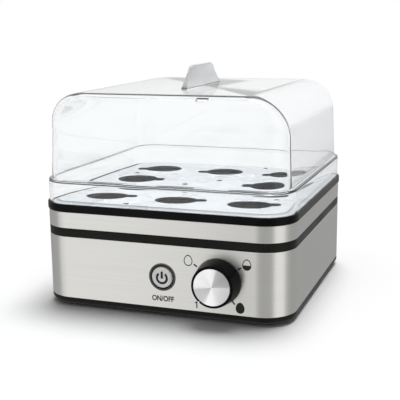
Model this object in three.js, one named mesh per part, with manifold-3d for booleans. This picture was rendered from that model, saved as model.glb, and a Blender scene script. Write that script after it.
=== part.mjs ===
// A square eight-egg cooker: a steel-clad base with a heated water dish, an egg tray and a clear lid.
// Millimetres, +Z up. The front faces -Y. The origin is the middle of the base of the whole object's box.

import * as THREE from 'three';
import { mergeVertices } from 'three/addons/utils/BufferGeometryUtils.js';
import Module from 'manifold-3d';

const wasm = await Module();
wasm.setup();

// ---------- driving dimensions ----------

const BODY_HALF = 100;            // half the width, and half the depth, over the steel
const CORNER_CORE = 75.5;         // half-width of the square that the corner arcs are centred on
const ARC_STEPS = 6;              // facets in a quarter turn of an upright corner
const STEEL = 0.8;                // steel sheet
const FIT = 0.3;                  // clearance between nested pieces
const WALL = 2;                   // moulded plastic

const PAN_BOTTOM = 2.5;           // heights of the base's bands, from the table up
const SLEEVE_BOTTOM = 7.5;
const SLEEVE_TOP = 56.1;
const BAND_BOTTOM = 62.9;
const BAND_TOP = 75.5;
const COLLAR_TOP = 81.6;
const LEDGE_TOP = 79.3;           // ledge inside the collar that the tray and the lid rest on
const LEDGE_THICK = 3;
const TONGUE = 6;                 // how far the black rings reach behind the steel

const POST_PLACE = 85.5;          // corner screw posts, from the middle along X and along Y
const POST_JOINT = 50;            // height where the base's posts meet the collar's
const SCREW_SEAT = 39.4;
const SCREW_RADIUS = 1.5;
const FOOT_PLACE = 74;

const DISH_CORE = 57;
const DISH_HALF = 87.2;
const DISH_FLOOR = 54;
const DISH_SHEET = 1.2;
const DISH_RIM = 74;
const DISH_RIM_HALF = 92;
const OPENING_HALF = 88;          // opening inside the collar's ledge
const GASKET_THICK = 1.3;
const HEAT_PLATE_BOTTOM = 51;
const SHIELD_BOTTOM = 36;
const STUD_X = 32;                // studs that hold the heat shield up
const STUD_Y = -20;

const EGG_PITCH = 59;
const EGG_RADIUS = 17;
const LOBE_REACH = 23.5;          // finger lobe at the side of each egg hole
const LOBE_WIDTH = 13;
const TRAY_TOP = 82.8;
const TRAY_THICK = 1.4;
const TRAY_HALF = 96.7;
const TRAY_BORDER_TOP = 81.2;      // top of the flat border that the lid's flange goes round

const FLANGE_HALF = 99.2;         // lid
const FLANGE_TOP = 99.3;
const DOME_CORE = 78;
const DOME_FOOT_HALF = 95.6;
const DOME_SHOULDER_HALF = 94.2;
const DOME_SHOULDER = 137.5;
const DOME_TOP = 165.5;
const CROWN_RADIUS = 28;          // rounding over the left and right edges of the top
const BROW_RADIUS = 7;            // rounding over its front and back edges
const HANDLE_TOP = 183;
const VENT_BOTTOM = 161.2;        // vent slots through the lid's brow
const VENT_TOP = 163;

const PANEL = -BODY_HALF;         // outer face of the front wall
const BUTTON = { x: 3.1, z: 31.3, radius: 8, travelRoom: 2 };
const KNOB = { x: 46.8, z: 31.8, baseRadius: 17.6, frontRadius: 15.7, length: 14.5, capProud: 0.4 };
const KNOB_GAP = 0.5;
const POINTER_TURN = -130;        // degrees from +X to the knob's pointer, at its first setting
const SHAFT_RADIUS = 2.8;
const BOARD_FRONT = -84;
const BOARD_THICK = 1.6;
const GLAND = { x: -60, z: 30.5, proud: 4, bore: 3.6 };

const KNOB_FRONT = KNOB.length + KNOB.capProud;
const BODY_Y = (KNOB_FRONT - GLAND.proud) / 2;   // centres the box of the whole object on the origin

// ---------- finishes ----------

const FINISHES = {
  steel: [0xd2d2cc, 0.32, 1], blackPlastic: [0x1b1b1a, 0.38, 0], glossBlack: [0x0c0c0c, 0.15, 0],
  rubber: [0x222222, 0.85, 0], coating: [0x17171a, 0.45, 0.2], silicone: [0x8f8f8a, 0.8, 0],
  aluminium: [0xb9bcc0, 0.45, 1], zinc: [0x9fa3a6, 0.4, 1], board: [0x1f5b34, 0.5, 0],
  chipBlue: [0x2d5fa8, 0.5, 0], chipBlack: [0x202124, 0.6, 0], ivory: [0xd9d4c4, 0.6, 0],
  brown: [0x5a3a22, 0.6, 0], blue: [0x2a4c9c, 0.6, 0], green: [0x4c8f3a, 0.6, 0],
  silver: [0xe3e5e8, 0.28, 1], bezelGrey: [0x55564f, 0.4, 0.4], clear: [0xf4f7f8, 0.05, 0],
  frosted: [0xe9ecef, 0.25, 0], brass: [0xb8974a, 0.35, 1],
};

// ---------- solids ----------

function solid(geometry) {
  const bare = geometry.clone();
  bare.deleteAttribute('normal');
  bare.deleteAttribute('uv');
  const merged = mergeVertices(bare, 1e-4);
  const corners = merged.index.array;
  const triangles = [];
  for (let i = 0; i < corners.length; i += 3) {
    const [a, b, c] = [corners[i], corners[i + 1], corners[i + 2]];
    if (a !== b && b !== c && c !== a) triangles.push(a, b, c);
  }
  return new wasm.Manifold(new wasm.Mesh({
    numProp: 3,
    vertProperties: new Float32Array(merged.attributes.position.array),
    triVerts: new Uint32Array(triangles),
  }));
}

function geometryOf(body) {
  const mesh = body.getMesh();
  const geometry = new THREE.BufferGeometry();
  geometry.setAttribute('position', new THREE.BufferAttribute(mesh.vertProperties, 3));
  geometry.setIndex(new THREE.BufferAttribute(mesh.triVerts, 1));
  geometry.computeVertexNormals();
  return geometry;
}

// A profile of [distance from centre, height] points swept round a square with rounded corners.
// The corner arcs are centred on the corners of a smaller square of half-width `core`.
function squareSweep(profile, core = CORNER_CORE) {
  const points = profile.map(([s, z]) => new THREE.Vector2(s, z));
  const perCorner = ARC_STEPS + 1;
  const turns = 4 * perCorner;
  const geometry = new THREE.LatheGeometry(points, turns);
  const position = geometry.attributes.position;
  for (let i = 0; i < position.count; i++) {
    const turn = Math.floor(i / points.length) % turns;
    const corner = Math.floor(turn / perCorner);
    const angle = (corner + (turn % perCorner) / ARC_STEPS) * Math.PI / 2;
    const sideX = corner === 0 || corner === 3 ? 1 : -1;
    const sideY = corner < 2 ? 1 : -1;
    const { x: s, y: z } = points[i % points.length];
    const reach = s === 0 ? 0 : s - core;
    const middle = s === 0 ? 0 : core;
    const [across, along] = [reach * Math.cos(angle), reach * Math.sin(angle)];
    position.setXYZ(i, sideX * middle + across, sideY * middle + along, z);
  }
  return solid(geometry);
}

function closed(profile) {
  return [...profile, profile[0]];
}

function squareRing(inner, outer, bottom, top, core) {
  return squareSweep(closed([[inner, bottom], [outer, bottom], [outer, top], [inner, top]]), core);
}

function squareSlab(half, bottom, top, core) {
  return squareSweep([[0, bottom], [half, bottom], [half, top], [0, top]], core);
}

// A quarter circle of [across, up] points about a centre, from one angle to another in degrees.
function arc(across, up, radius, from, to, steps) {
  return Array.from({ length: steps + 1 }, (_, i) => {
    const angle = THREE.MathUtils.degToRad(from + (to - from) * i / steps);
    return [across + radius * Math.cos(angle), up + radius * Math.sin(angle)];
  });
}

function box(x0, x1, y0, y1, z0, z1) {
  const geometry = new THREE.BoxGeometry(x1 - x0, y1 - y0, z1 - z0);
  return solid(geometry.translate((x0 + x1) / 2, (y0 + y1) / 2, (z0 + z1) / 2));
}

// Turned about a line along Y: a profile of [radius, y] points, first and last on the line or meeting.
function turnedAlongY(profile, facets = 24) {
  return solid(new THREE.LatheGeometry(profile.map(([r, y]) => new THREE.Vector2(r, y)), facets));
}

function turnedAlongZ(profile, facets = 20) {
  const geometry = new THREE.LatheGeometry(profile.map(([r, z]) => new THREE.Vector2(r, z)), facets);
  return solid(geometry.rotateX(Math.PI / 2));
}

function rodAlongZ(radius, bottom, top, facets = 16) {
  return turnedAlongZ([[0, bottom], [radius, bottom], [radius, top], [0, top]], facets);
}

function rodAlongY(radius, front, back, facets = 16) {
  return turnedAlongY([[0, front], [radius, front], [radius, back], [0, back]], facets);
}

function rodAlongX(radius, left, right, facets = 12) {
  return solid(new THREE.CylinderGeometry(radius, radius, right - left, facets)
    .rotateZ(Math.PI / 2).translate((left + right) / 2, 0, 0));
}

// A round bar or wire along a smooth curve through the given points.
function bentRod(points, radius, steps, sides) {
  const curve = new THREE.CatmullRomCurve3(points.map((p) => new THREE.Vector3(...p)), false, 'centripetal');
  const section = new THREE.Shape();
  section.absarc(0, 0, radius, 0, 2 * Math.PI);
  return solid(new THREE.ExtrudeGeometry(section, { extrudePath: curve, steps, curveSegments: sides / 2 }));
}

const FOUR_CORNERS = [
  ['front_left', -1, -1], ['front_right', 1, -1], ['rear_left', -1, 1], ['rear_right', 1, 1],
];

function atCorners(place, make) {
  return FOUR_CORNERS.map(([, x, y]) => make().translate([x * place, y * place, 0]));
}

// ---------- the assembly ----------

const assembly = new THREE.Group();
const body = new THREE.Group();
body.position.y = BODY_Y;
assembly.add(body);

function piece(name, shape, finish, place = [0, 0, 0], parent = body) {
  const [color, roughness, metalness] = FINISHES[finish];
  const material = new THREE.MeshStandardMaterial({ color, roughness, metalness });
  if (finish === 'clear' || finish === 'frosted') {
    material.transparent = true;
    material.opacity = 0.4;
  }
  const mesh = new THREE.Mesh(geometryOf(shape), material);
  mesh.name = name;
  mesh.position.set(...place);
  parent.add(mesh);
}

// ---------- base ----------

function basePan() {
  const floorTop = PAN_BOTTOM + 2.5;
  const inside = BODY_HALF - STEEL - FIT;
  const upstand = 20;
  const edge = 3;
  let pan = squareSweep([
    [0, PAN_BOTTOM],
    ...arc(BODY_HALF - edge, PAN_BOTTOM + edge, edge, -90, 0, 4),
    [BODY_HALF, SLEEVE_BOTTOM], [inside, SLEEVE_BOTTOM], [inside, upstand],
    [inside - WALL, upstand], [inside - WALL, floorTop], [0, floorTop],
  ]);
  const postBar = () => rodAlongZ(5.3, PAN_BOTTOM + 1, POST_JOINT);
  for (const post of atCorners(POST_PLACE, postBar)) pan = pan.add(post);
  const bore = () => rodAlongZ(3.5, 0, SCREW_SEAT).add(rodAlongZ(SCREW_RADIUS + FIT, 0, POST_JOINT + 1));
  for (const hole of atCorners(POST_PLACE, bore)) pan = pan.subtract(hole);
  for (const hole of atCorners(FOOT_PLACE, () => rodAlongZ(3.3, 0, 8))) pan = pan.subtract(hole);
  const slots = 5;
  for (let i = 0; i < slots; i++) {
    const x = (i - (slots - 1) / 2) * 12;
    pan = pan.subtract(box(x - 2, x + 2, -15, 15, 0, 8));
  }
  return pan;
}

function rubberFoot() {
  const seat = PAN_BOTTOM - 0.05;
  return turnedAlongZ([[0, 0], [7.4, 0], [8, 0.8], [8, seat], [3, seat], [3, 5.6], [0, 5.6]]);
}

function bodyScrew() {
  const under = SCREW_SEAT - 0.1;
  return turnedAlongZ([[0, under - 2.5], [2.4, under - 2.5], [3.1, under - 1.6], [3.1, under],
    [SCREW_RADIUS, under], [SCREW_RADIUS, 62], [0, 62]], 16);
}

function lowerSleeve() {
  return squareRing(BODY_HALF - STEEL, BODY_HALF, SLEEVE_BOTTOM, SLEEVE_TOP)
    .subtract(rodAlongY(10.1, PANEL - 5, PANEL + 5, 24).translate([BUTTON.x, 0, BUTTON.z]))
    .subtract(rodAlongY(4.5, PANEL - 5, PANEL + 5, 24).translate([KNOB.x, 0, KNOB.z]))
    .subtract(rodAlongY(5.9, BODY_HALF - 5, BODY_HALF + 5, 24).translate([GLAND.x, 0, GLAND.z]));
}

function middleRing() {
  const behind = BODY_HALF - STEEL - FIT;
  const face = BODY_HALF - 0.1;
  return squareSweep(closed([
    [behind - WALL, SLEEVE_TOP - TONGUE], [behind, SLEEVE_TOP - TONGUE], [behind, SLEEVE_TOP],
    [face, SLEEVE_TOP], [face, BAND_BOTTOM], [behind, BAND_BOTTOM],
    [behind, BAND_BOTTOM + TONGUE], [behind - WALL, BAND_BOTTOM + TONGUE],
  ]));
}

function topCollar() {
  const behind = BODY_HALF - STEEL - FIT;
  const bulge = BODY_HALF + 0.7;
  const mouth = FLANGE_HALF + FIT;
  const under = LEDGE_TOP - LEDGE_THICK;
  let collar = squareSweep(closed([
    [80, under], [behind - WALL, under], [behind - WALL, BAND_TOP - TONGUE], [behind, BAND_TOP - TONGUE],
    [behind, BAND_TOP], [BODY_HALF + 0.2, BAND_TOP], [bulge, BAND_TOP + 0.9], [bulge, COLLAR_TOP - 1.8],
    [bulge - 0.35, COLLAR_TOP - 0.6], [bulge - 0.9, COLLAR_TOP], [mouth, COLLAR_TOP], [mouth, LEDGE_TOP],
    [80, LEDGE_TOP],
  ]));
  collar = collar.subtract(squareSlab(OPENING_HALF, under - 1, LEDGE_TOP + 1, DISH_CORE));
  const post = () => rodAlongZ(4.5, POST_JOINT + 0.2, under + 1)
    .subtract(rodAlongZ(SCREW_RADIUS + FIT, POST_JOINT - 10, 66));
  for (const boss of atCorners(POST_PLACE, post)) collar = collar.add(boss);
  return collar;
}

piece('base_pan', basePan(), 'blackPlastic');
for (const [corner, x, y] of FOUR_CORNERS) {
  piece(`foot_${corner}`, rubberFoot(), 'rubber', [x * FOOT_PLACE, y * FOOT_PLACE, 0]);
  piece(`body_screw_${corner}`, bodyScrew(), 'zinc', [x * POST_PLACE, y * POST_PLACE, 0]);
}
piece('lower_sleeve', lowerSleeve(), 'steel');
piece('middle_ring', middleRing(), 'blackPlastic');
piece('upper_band', squareRing(BODY_HALF - STEEL, BODY_HALF, BAND_BOTTOM, BAND_TOP), 'steel');
piece('top_collar', topCollar(), 'glossBlack');

// ---------- water dish and heater ----------

function heatingDish() {
  const bend = 4;
  const inner = DISH_HALF - DISH_SHEET;
  return squareSweep([
    [0, DISH_FLOOR],
    ...arc(DISH_HALF - bend, DISH_FLOOR + bend, bend, -90, 0, 3),
    [DISH_HALF, DISH_RIM], [DISH_RIM_HALF, DISH_RIM], [DISH_RIM_HALF, DISH_RIM + 1], [inner, DISH_RIM + 1],
    ...arc(DISH_HALF - bend, DISH_FLOOR + bend, bend - DISH_SHEET, 0, -90, 3),
    [0, DISH_FLOOR + DISH_SHEET],
  ], DISH_CORE);
}

function heatingElement() {
  const half = 50;
  const bend = 10;
  const level = 47;
  const leg = 9;
  const oneSide = (x) => [
    [x * leg, half, 29], [x * leg, half, 38], [x * (leg + 4), half, 45], [x * 22, half, level],
    [x * (half - bend), half, level], [x * half, half - bend, level], [x * half, bend - half, level],
    [x * (half - bend), -half, level],
  ];
  return bentRod([...oneSide(-1), ...oneSide(1).reverse()], 3.3, 60, 6);
}

function heatShield() {
  let shield = squareSlab(70, SHIELD_BOTTOM, SHIELD_BOTTOM + STEEL, 60);
  shield = shield.subtract(box(-20, 20, 42, 58, 30, 40));
  for (const x of [-STUD_X, STUD_X]) {
    shield = shield.subtract(rodAlongZ(2.4, 30, 40).translate([x, STUD_Y, 0]));
  }
  return shield;
}

piece('heating_dish', heatingDish(), 'coating');
const GASKET_BOTTOM = DISH_RIM + 1;
piece('dish_gasket',
  squareRing(DISH_HALF, DISH_RIM_HALF - 0.5, GASKET_BOTTOM, GASKET_BOTTOM + GASKET_THICK, DISH_CORE),
  'silicone');
piece('heat_plate', squareSlab(65, HEAT_PLATE_BOTTOM, DISH_FLOOR - 0.05, 50), 'aluminium');
piece('heating_element', heatingElement(), 'zinc');
piece('heat_shield', heatShield(), 'zinc');
for (const [side, x] of [['left', -STUD_X], ['right', STUD_X]]) {
  const nut = rodAlongZ(4, SHIELD_BOTTOM - 3.1, SHIELD_BOTTOM - 0.1, 6).subtract(rodAlongZ(2.3, 30, 40));
  piece(`shield_stud_${side}`, rodAlongZ(2, 31, HEAT_PLATE_BOTTOM - 0.05), 'zinc', [x, STUD_Y, 0]);
  piece(`stud_nut_${side}`, nut, 'zinc', [x, STUD_Y, 0]);
}
piece('thermostat', rodAlongZ(8.5, 41, HEAT_PLATE_BOTTOM - 0.05, 24), 'ivory');
piece('thermal_fuse', rodAlongX(2, 19, 31), 'aluminium', [0, 20, 48.9]);

// ---------- electronics behind the front wall ----------

const BOARD_BACK = BOARD_FRONT + BOARD_THICK;
const PAN_FLOOR = PAN_BOTTOM + 2.5;

function boardBracket(left, right) {
  const front = BOARD_BACK + 0.1;
  const sheet = 1.5;
  return box(left, right, front, front + sheet, PAN_FLOOR, 30)
    .add(box(left, right, front, front + 16, PAN_FLOOR, PAN_FLOOR + sheet));
}

function potentiometerBody() {
  const bore = SHAFT_RADIUS + FIT;
  return turnedAlongY([[0, -89.4], [bore, -89.4], [bore, PANEL + 0.1], [4.2, PANEL + 0.1], [4.2, -91.5],
    [8, -91.5], [8, BOARD_FRONT - 0.05], [0, BOARD_FRONT - 0.05]], 24);
}

function switchBody() {
  return box(-6, 6, -90.6, BOARD_FRONT - 0.05, -6, 6).subtract(rodAlongY(2.8, -95, -86.5));
}

piece('control_board', box(-18, 72, BOARD_FRONT, BOARD_BACK, 12, 50), 'board');
piece('board_bracket_left', boardBracket(-16, -4), 'zinc');
piece('board_bracket_right', boardBracket(58, 70), 'zinc');
piece('relay', box(10, 29, BOARD_BACK + 0.05, -67, 20, 35), 'chipBlue');
piece('film_capacitor', box(36, 52, BOARD_BACK + 0.05, -73, 14, 26), 'ivory');
piece('buzzer', rodAlongY(6, BOARD_BACK + 0.05, -74, 24), 'chipBlack', [-9, 0, 40]);
piece('indicator_led', rodAlongY(1.5, -92.5, BOARD_FRONT - 0.05, 12), 'ivory', [BUTTON.x, 0, BUTTON.z + 9.05]);
piece('potentiometer_body', potentiometerBody(), 'aluminium', [KNOB.x, 0, KNOB.z]);
piece('switch_body', switchBody(), 'chipBlack', [BUTTON.x, 0, BUTTON.z]);

// ---------- knob and power button ----------

function knobBody() {
  const base = PANEL - KNOB_GAP;
  const front = PANEL - KNOB.length;
  const seat = front + 1.3;
  const inside = front + 2.8;
  const bore = SHAFT_RADIUS + FIT;
  const shell = turnedAlongY([
    [0, seat], [14.1, seat], [14.1, front], [KNOB.frontRadius - 0.5, front], [KNOB.frontRadius, front + 0.5],
    [KNOB.baseRadius, base - 1], [KNOB.baseRadius, base], [KNOB.baseRadius - 2.2, base],
    [KNOB.frontRadius - 2.1, inside], [6, inside], [6, base - 0.7], [bore, base - 0.7],
    [bore, inside], [0, inside],
  ], 36);
  const pointer = box(KNOB.frontRadius - 1.3, KNOB.frontRadius + 3, front - 1, front + 4, -0.6, 0.6);
  return shell.subtract(pointer.rotate([0, -POINTER_TURN, 0]));
}

function knobCap() {
  const front = PANEL - KNOB.length - KNOB.capProud;
  const seat = PANEL - KNOB.length + 1.25;
  return turnedAlongY([[0, front], [13.2, front], [13.8, front + 0.4], [13.8, seat], [0, seat]], 36);
}

function buttonBezel() {
  const front = PANEL - 0.5;
  const bore = BUTTON.radius + FIT;
  return turnedAlongY(closed([[bore, front + 1.3], [10.2, front], [10.6, front], [10.6, PANEL - 0.05],
    [9.8, PANEL - 0.05], [9.8, PANEL + 7], [bore, PANEL + 7]]));
}

function buttonCap() {
  const front = PANEL - 0.9;
  return turnedAlongY([[0, front], [BUTTON.radius - 0.8, front], [BUTTON.radius, front + 0.6],
    [BUTTON.radius, PANEL + 5], [0, PANEL + 5]]);
}

const knob = new THREE.Group();
knob.position.set(KNOB.x, 0, KNOB.z);
body.add(knob);
piece('knob', knobBody(), 'glossBlack', [0, 0, 0], knob);
piece('knob_cap', knobCap(), 'silver', [0, 0, 0], knob);
piece('potentiometer_shaft', rodAlongY(SHAFT_RADIUS, -111.4, -89.7, 20), 'aluminium', [0, 0, 0], knob);

const button = new THREE.Group();
button.position.set(BUTTON.x, 0, BUTTON.z);
body.add(button);
piece('button_bezel', buttonBezel(), 'bezelGrey', [0, 0, 0], button);
piece('button_cap', buttonCap(), 'silver', [0, 0, 0], button);
piece('switch_plunger', rodAlongY(2.5, PANEL + 5.1, -86.5 - BUTTON.travelRoom), 'ivory', [0, 0, 0], button);

// ---------- mains entry ----------

function inletGland() {
  const outer = BODY_HALF + GLAND.proud;
  return turnedAlongY(closed([[GLAND.bore, 88], [5.6, 88], [5.6, BODY_HALF + 0.05], [8, BODY_HALF + 0.05],
    [8, outer - 1.5], [7, outer], [GLAND.bore, outer]]), 24);
}

function terminalBlock() {
  let block = box(-15, 15, -7, 7, 0, 13);
  for (const x of [-9, 0, 9]) block = block.subtract(rodAlongY(1.8, -10, 10, 12).translate([x, 0, 6]));
  return block;
}

const TERMINALS = [-50, 67, PAN_FLOOR];
const EARTH_STUD = [-20, 66, PAN_FLOOR];
const WIRE_RADIUS = 1.1;

piece('inlet_gland', inletGland(), 'blackPlastic', [GLAND.x, 0, GLAND.z]);
piece('gland_nut',
  rodAlongY(9.5, 95, BODY_HALF - STEEL - FIT, 6).subtract(rodAlongY(5.9, 90, 105, 24)),
  'blackPlastic', [GLAND.x, 0, GLAND.z]);
piece('terminal_block', terminalBlock(), 'ivory', TERMINALS);
piece('earth_stud', rodAlongZ(2, 0, 12, 12).add(rodAlongZ(4.5, 0, 2, 12)), 'brass', EARTH_STUD);

const WIRES = {
  wire_live: ['brown', [
    [-59, 59.7, 11], [-61, 48, 11], [-64, 0, 9], [-40, -50, 12], [-6, -66, 24], [2, -75, 26], [2, -82, 26],
  ]],
  wire_neutral: ['blue', [
    [-50, 59.7, 11], [-49, 52, 11], [-34, 45, 15], [-13, 49, 20], [-9, 50, 26], [-9, 50, 28.2],
  ]],
  wire_earth: ['green', [[-41, 59.7, 11], [-38, 55, 12], [-31, 57, 14], [-23.4, 64, 12]]],
};
for (const [name, [finish, route]] of Object.entries(WIRES)) {
  piece(name, bentRod(route, WIRE_RADIUS, 14, 6), finish);
}

// ---------- egg tray ----------

function eggHole(x, y, lobeTurn) {
  const cut = [TRAY_TOP - 8, TRAY_TOP + 2];
  const lobe = new THREE.Shape();
  const end = LOBE_WIDTH / 2;
  const corner = 4;
  lobe.moveTo(0, -end);
  lobe.lineTo(LOBE_REACH - corner, -end);
  lobe.absarc(LOBE_REACH - corner, corner - end, corner, -Math.PI / 2, 0);
  lobe.absarc(LOBE_REACH - corner, end - corner, corner, 0, Math.PI / 2);
  lobe.lineTo(0, end);
  const depth = cut[1] - cut[0];
  const bar = new THREE.ExtrudeGeometry(lobe, { depth, bevelEnabled: false, curveSegments: 2 });
  return rodAlongZ(EGG_RADIUS, ...cut, 22)
    .add(solid(bar.translate(0, 0, cut[0])))
    .rotate([0, 0, lobeTurn])
    .translate([x, y, 0]);
}

// Rows of the tray from front to back: where each egg sits, and which way its finger lobe points.
const EGG_PLACES = [
  ...[-1, 0, 1].map((column) => [column, -1, 18]),
  [-1, 0, 8], [1, 0, 188],
  ...[-1, 0, 1].map((column) => [column, 1, 198]),
];
const STEAM_HOLES = [[-72, 28], [11, 12], [30, 88]];

function eggTray() {
  const under = TRAY_TOP - TRAY_THICK;
  let tray = squareSweep([
    [0, under], [91, under], [92, LEDGE_TOP + 0.1], [TRAY_HALF, LEDGE_TOP + 0.1],
    [TRAY_HALF, TRAY_BORDER_TOP], [94, TRAY_BORDER_TOP], [92.2, TRAY_TOP], [0, TRAY_TOP],
  ]);
  tray = tray.add(squareRing(OPENING_HALF - 1.8, OPENING_HALF - 0.6, 77.5, under + 0.5, DISH_CORE));
  for (const [column, row, lobeTurn] of EGG_PLACES) {
    tray = tray.subtract(eggHole(column * EGG_PITCH, row * EGG_PITCH, lobeTurn));
  }
  for (const [x, y] of STEAM_HOLES) {
    const hole = () => rodAlongZ(2.5, under - 5, TRAY_TOP + 2, 12);
    tray = tray.subtract(hole().translate([x, y, 0])).subtract(hole().translate([-x, -y, 0]));
  }
  return tray;
}

piece('egg_tray', eggTray(), 'frosted');

// ---------- lid ----------

// The solid dome of the lid, or the space inside it when `inset` is the wall thickness.
function dome(bottom, inset) {
  const slope = (DOME_SHOULDER_HALF - DOME_FOOT_HALF) / (DOME_SHOULDER - FLANGE_TOP);
  const half = (z) => DOME_FOOT_HALF + slope * (z - FLANGE_TOP) - inset;
  const brow = DOME_TOP - BROW_RADIUS;
  const block = squareSweep([
    [0, bottom], [half(bottom), bottom],
    ...arc(half(brow) + inset - BROW_RADIUS, brow, BROW_RADIUS - inset, 0, 90, 4),
    [0, DOME_TOP - inset],
  ], DOME_CORE);
  const crown = new THREE.Shape();
  const side = DOME_SHOULDER_HALF - inset;
  const radius = CROWN_RADIUS - inset;
  const middle = side - radius;
  const flare = 16;                // the sides open out downward, well clear of the walls
  const low = 70;
  crown.moveTo(side + flare, low);
  crown.lineTo(side, DOME_SHOULDER);
  crown.absarc(middle, DOME_SHOULDER, radius, 0, Math.PI / 2);
  crown.absarc(-middle, DOME_SHOULDER, radius, Math.PI / 2, Math.PI);
  crown.lineTo(-side - flare, low);
  const length = 220;
  const arch = new THREE.ExtrudeGeometry(crown, { depth: length, bevelEnabled: false, curveSegments: 4 });
  return block.intersect(solid(arch.translate(0, 0, -length / 2).rotateX(Math.PI / 2)));
}

function handleFin() {
  const foot = 43;
  const shoulder = 26;
  const base = DOME_TOP - 1;
  const thickness = 4.6;
  const topThickness = 2.6;
  const outline = new THREE.Shape();
  outline.moveTo(-foot, base);
  outline.lineTo(foot, base);
  outline.lineTo(shoulder + 2, HANDLE_TOP - 5);
  outline.quadraticCurveTo(shoulder, HANDLE_TOP, shoulder - 6, HANDLE_TOP);
  outline.lineTo(6 - shoulder, HANDLE_TOP);
  outline.quadraticCurveTo(-shoulder, HANDLE_TOP, -shoulder - 2, HANDLE_TOP - 5);
  const fin = new THREE.ExtrudeGeometry(outline, { depth: thickness, bevelEnabled: false, curveSegments: 4 });
  fin.translate(0, 0, -thickness / 2).rotateY(Math.PI / 2).rotateX(Math.PI / 2);
  const position = fin.attributes.position;
  for (let i = 0; i < position.count; i++) {
    const up = (position.getZ(i) - base) / (HANDLE_TOP - base);
    position.setX(i, position.getX(i) * (1 + up * (topThickness / thickness - 1)));
  }
  return solid(fin);
}

function lid() {
  const foot = LEDGE_TOP + FIT;
  const flange = squareSweep([
    [0, foot], [FLANGE_HALF, foot], [FLANGE_HALF - 0.2, FLANGE_TOP], [0, FLANGE_TOP],
  ]);
  const flangeSpace = squareSlab(FLANGE_HALF - WALL, foot - 1, FLANGE_TOP - WALL);
  return flange.add(dome(FLANGE_TOP - 1, 0))
    .subtract(flangeSpace)
    .subtract(dome(FLANGE_TOP - WALL - 1, WALL))
    .add(handleFin())
    .subtract(box(28.5, 37.5, -98, -88, VENT_BOTTOM, VENT_TOP))
    .subtract(box(15.5, 28.5, 88, 98, VENT_BOTTOM, VENT_TOP));
}

piece('lid', lid(), 'clear');

export default assembly;
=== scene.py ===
# Looks of the egg cooker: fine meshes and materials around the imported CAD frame.
# Lengths in this script are millimetres until they become vertices; the scene itself is in metres.

import math

import bmesh
import bpy
from mathutils import Matrix, Vector


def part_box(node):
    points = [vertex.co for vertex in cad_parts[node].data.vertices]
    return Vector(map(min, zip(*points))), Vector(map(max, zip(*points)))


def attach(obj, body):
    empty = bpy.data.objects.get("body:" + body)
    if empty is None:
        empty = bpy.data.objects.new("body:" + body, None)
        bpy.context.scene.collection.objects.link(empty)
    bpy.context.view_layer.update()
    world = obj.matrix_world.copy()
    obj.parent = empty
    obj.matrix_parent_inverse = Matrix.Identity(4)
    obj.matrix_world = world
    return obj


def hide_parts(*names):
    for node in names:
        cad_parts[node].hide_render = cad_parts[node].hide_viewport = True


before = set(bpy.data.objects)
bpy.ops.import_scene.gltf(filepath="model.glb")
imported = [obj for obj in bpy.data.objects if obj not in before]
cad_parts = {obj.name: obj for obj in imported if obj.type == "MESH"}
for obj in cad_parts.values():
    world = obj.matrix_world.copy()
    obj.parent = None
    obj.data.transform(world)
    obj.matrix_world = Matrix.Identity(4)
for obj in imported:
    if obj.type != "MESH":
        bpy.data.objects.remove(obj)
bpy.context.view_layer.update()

MM = 0.001


# ---------- sizes read from the frame ----------

def node_box(node):
    low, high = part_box(node)
    return [v / MM for v in low], [v / MM for v in high]


def middle(node):
    low, high = node_box(node)
    return [(a + b) / 2 for a, b in zip(low, high)]


SLEEVE_LOW, SLEEVE_HIGH = node_box("lower_sleeve")
BODY_HALF = (SLEEVE_HIGH[0] - SLEEVE_LOW[0]) / 2
CENTRE_Y = middle("lower_sleeve")[1]
PANEL = SLEEVE_LOW[1]
BACK = SLEEVE_HIGH[1]
SLEEVE_BOTTOM = SLEEVE_LOW[2]
SLEEVE_TOP = SLEEVE_HIGH[2]
BAND_BOTTOM = node_box("upper_band")[0][2]
BAND_TOP = node_box("upper_band")[1][2]
COLLAR_TOP = node_box("top_collar")[1][2]
PAN_BOTTOM = node_box("base_pan")[0][2]
TRAY_TOP = node_box("egg_tray")[1][2]
TRAY_HALF = node_box("egg_tray")[1][0]
LID_FOOT = node_box("lid")[0][2]
FLANGE_HALF = node_box("lid")[1][0]
HANDLE_TOP = node_box("lid")[1][2]
DISH_FLOOR = node_box("heating_dish")[0][2]
DISH_RIM = node_box("heating_dish")[1][2]
DISH_RIM_HALF = node_box("heating_dish")[1][0]
BUTTON_X, _, BUTTON_Z = middle("button_cap")
KNOB_X, _, KNOB_Z = middle("knob_cap")
GLAND_X, _, GLAND_Z = middle("inlet_gland")
POST_PLACE = middle("body_screw_front_right")[0]
FOOT_PLACE = middle("foot_front_right")[0]

# Sizes that the frame's boxes don't give.
CORNER_CORE = 75.5          # half-width of the square that the body's corner arcs are centred on
DISH_CORE = 57              # the same for the dish and the opening above it
STEEL = 0.8                 # sheet thickness
BEHIND = BODY_HALF - STEEL - 0.3
RING_WALL = 2               # wall of the black parts behind the steel
RING_TONGUE = 6             # how far they reach behind it
POST_BORE = 1.8             # screw hole in the posts, a radius like the next four
COLLAR_POST = 4.5
PAN_POST = 5.3
SCREW_HEAD_BORE = 3.5
FOOT_BORE = 3.3
LEDGE_TOP = 79.3
LEDGE_UNDER = 76.3
LEDGE_OPENING = 88
TRAY_THICK = 1.4
TRAY_BORDER_TOP = 81.2
EGG_PITCH = 59
EGG_RADIUS = 17
LOBE_REACH = 23.5
LOBE_HALF_WIDTH = 6.5
LID_WALL = 2
FLANGE_TOP = 99.3
DOME_FOOT_HALF = 95.6
DOME_SHOULDER_HALF = 94.2
DOME_SHOULDER = 137.5
DOME_TOP = 165.5
DOME_CORNER = 17.6
CROWN_RADIUS = 28
BROW_RADIUS = 7
PRINT_LIFT = 0.03           # print stands this far off the face that it is on


# ---------- camera ----------

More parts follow.
